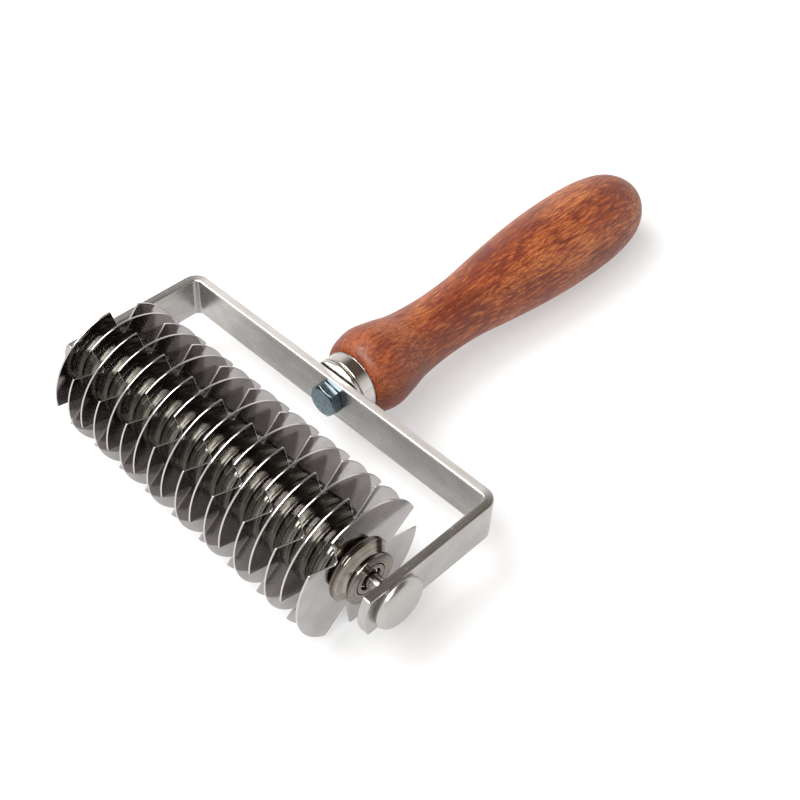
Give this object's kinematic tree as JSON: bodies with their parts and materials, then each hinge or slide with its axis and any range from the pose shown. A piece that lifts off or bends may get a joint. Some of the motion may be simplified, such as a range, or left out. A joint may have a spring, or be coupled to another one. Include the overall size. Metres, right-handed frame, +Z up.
{
  "type": "pastry cutter wheel",
  "caption": "Lattice pastry cutter: stack of notched steel discs turning on an axle in a U-shaped steel yoke bolted to a turned wooden handle.",
  "frame": {"origin": "on the table, under the middle of the whole object's box, as the cutter rests on its discs and on the fat end of its handle", "axes": "+X along the axle towards the near arm, +Y from the axle towards the end of the handle, +Z up"},
  "size_m": [0.1366, 0.2109, 0.045],
  "materials": {
    "lacquered_wood": "red-brown lacquered hardwood with fine short streaks along the grain",
    "disc_steel": "thin rolled stainless sheet, nearly mirror bright",
    "spacer_steel": "turned and polished steel, looks dark between the discs",
    "hub_steel": "lathe-turned steel with fine concentric marks",
    "head_steel": "satin polished steel",
    "yoke_strip": "satin rolled stainless strip, faintly brushed along its length",
    "polished_steel": "polished steel",
    "zinc_plate": "bluish zinc plating",
    "brass_insert": "plain brass"
  },
  "bodies": {
    "frame": {"yoke": "yoke_strip", "handle_bolt": "zinc_plate", "ferrule": "polished_steel", "handle_insert": "brass_insert", "handle": "lacquered_wood", "axle": "polished_steel", "axle_head_near": "head_steel", "axle_head_far": "head_steel"},
    "roller": {"core_tube": "spacer_steel", "hub_near": "hub_steel", "hub_far": "hub_steel", "bush_near": "polished_steel", "bush_far": "polished_steel", "blade_01": "disc_steel", "blade_02": "disc_steel", "blade_03": "disc_steel", "blade_04": "disc_steel", "blade_05": "disc_steel", "blade_06": "disc_steel", "blade_07": "disc_steel", "blade_08": "disc_steel", "blade_09": "disc_steel", "blade_10": "disc_steel", "blade_11": "disc_steel", "blade_12": "disc_steel", "blade_13": "disc_steel", "blade_14": "disc_steel", "blade_15": "disc_steel", "blade_16": "disc_steel", "blade_17": "disc_steel", "blade_18": "disc_steel", "spacer_01": "spacer_steel", "spacer_02": "spacer_steel", "spacer_03": "spacer_steel", "spacer_04": "spacer_steel", "spacer_05": "spacer_steel", "spacer_06": "spacer_steel", "spacer_07": "spacer_steel", "spacer_08": "spacer_steel", "spacer_09": "spacer_steel", "spacer_10": "spacer_steel", "spacer_11": "spacer_steel", "spacer_12": "spacer_steel", "spacer_13": "spacer_steel", "spacer_14": "spacer_steel", "spacer_15": "spacer_steel", "spacer_16": "spacer_steel", "spacer_17": "spacer_steel"}
  },
  "joints": [
    {"name": "roller_spin", "type": "hinge", "parent": "frame", "child": "roller", "pos_m": [-0.001, -0.08295, 0.0225], "axis": [1, 0, 0], "continuous": true}
  ]
}
